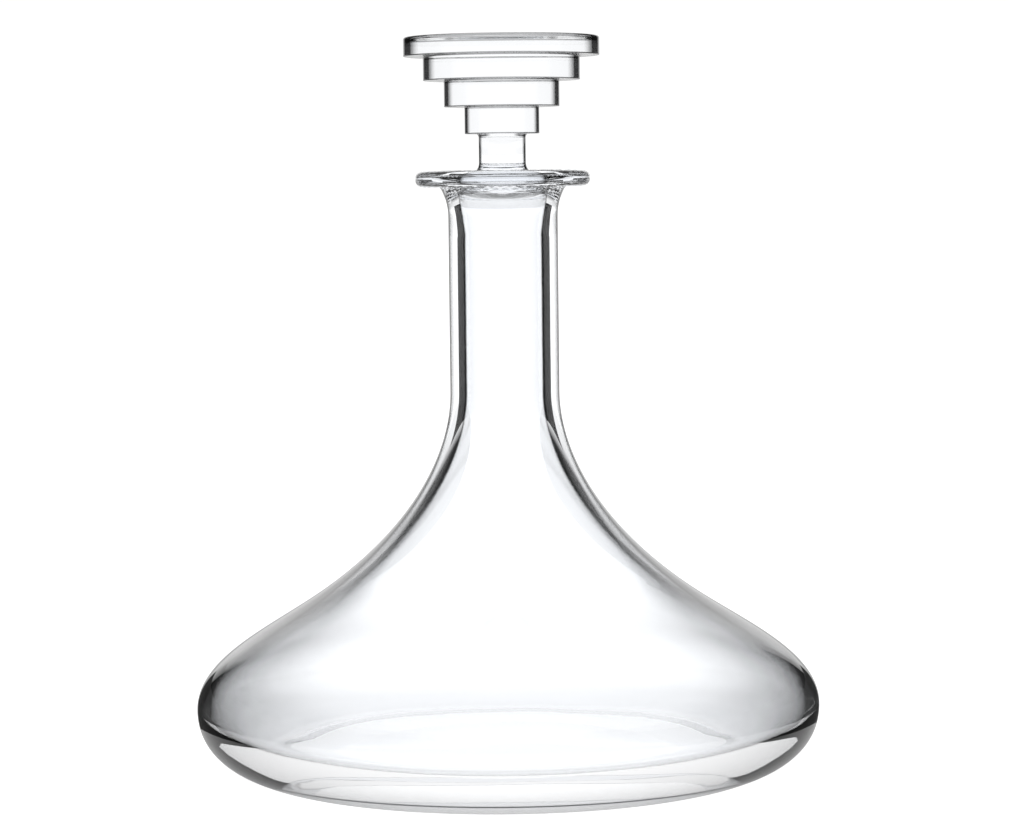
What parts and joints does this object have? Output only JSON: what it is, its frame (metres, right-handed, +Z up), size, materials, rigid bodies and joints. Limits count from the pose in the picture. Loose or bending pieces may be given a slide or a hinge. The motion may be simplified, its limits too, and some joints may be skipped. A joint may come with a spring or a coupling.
{
  "type": "wine decanter",
  "caption": "Clear glass wine decanter with a broad low belly, a long thick neck, a wide flat lip and a solid lift-out stopper of stacked discs.",
  "frame": {"origin": "middle of the flat base, on the surface it stands on", "axes": "+Z up along the axis everything is turned about; +X and +Y level"},
  "size_m": [0.221, 0.221, 0.2612],
  "materials": {
    "vessel_glass": "clear crystal, fire polished, with fine radial flutes on the lip",
    "stopper_glass": "clear crystal, cut and polished"
  },
  "bodies": {
    "vessel": {"decanter_body": "vessel_glass", "neck_lip": "vessel_glass"},
    "stopper": {"stopper_plug": "stopper_glass", "stopper_stem": "stopper_glass", "stopper_disc_fourth": "stopper_glass", "stopper_disc_third": "stopper_glass", "stopper_disc_second": "stopper_glass", "stopper_disc_top": "stopper_glass"}
  },
  "joints": [
    {"name": "stopper_lift", "type": "slide", "parent": "vessel", "child": "stopper", "axis": [0, 0, 1], "range_m": [0, 0.05]}
  ]
}
